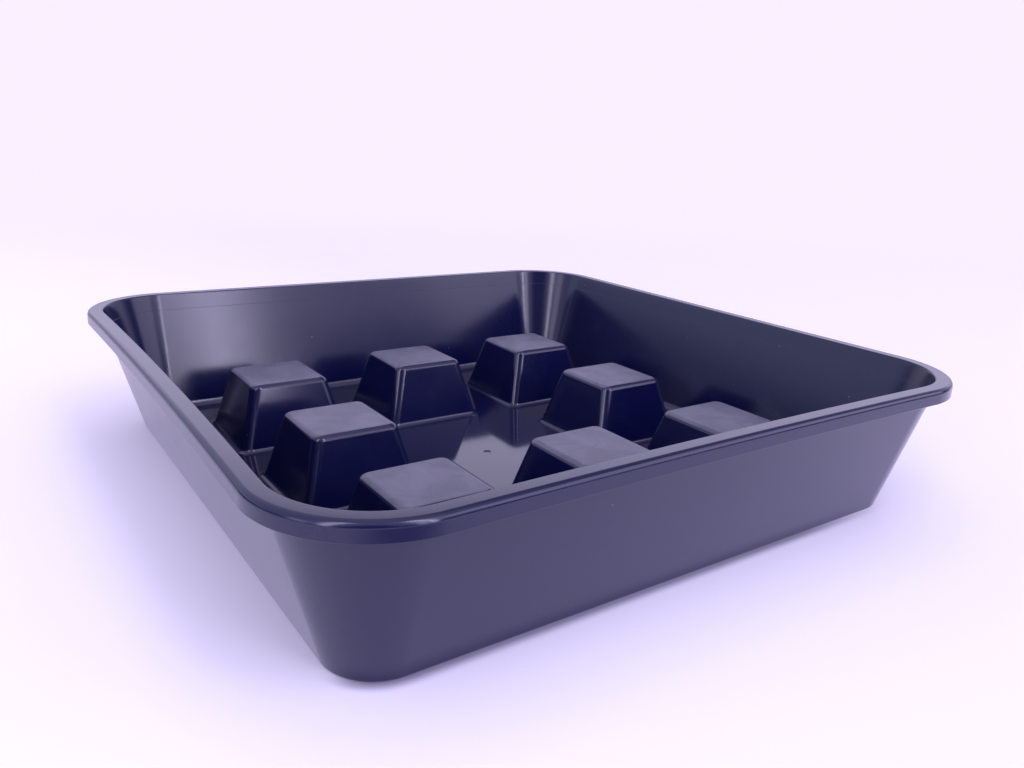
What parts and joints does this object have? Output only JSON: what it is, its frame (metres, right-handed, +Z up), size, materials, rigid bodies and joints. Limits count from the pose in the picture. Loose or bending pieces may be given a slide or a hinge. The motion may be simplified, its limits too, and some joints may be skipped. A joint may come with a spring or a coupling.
{
  "type": "square plant saucer",
  "caption": "Deep square plant saucer moulded in dark satin plastic, with a turned-down rim and hollow raised rests that hold a pot clear of the drained water.",
  "frame": {"origin": "centre of the base, on the table plane", "axes": "+Z up out of the tray, X and Y parallel to the walls, -Y the front wall"},
  "size_m": [0.3, 0.3, 0.0595],
  "materials": {
    "body": "satin"
  },
  "bodies": {
    "root": {"rim": "body", "side_wall": "body", "floor_plate": "body", "rest_front_left": "body", "rest_front_middle": "body", "rest_front_right": "body", "rest_left_middle": "body", "rest_right_middle": "body", "rest_back_left": "body", "rest_back_middle": "body", "rest_back_right": "body"}
  },
  "joints": []
}
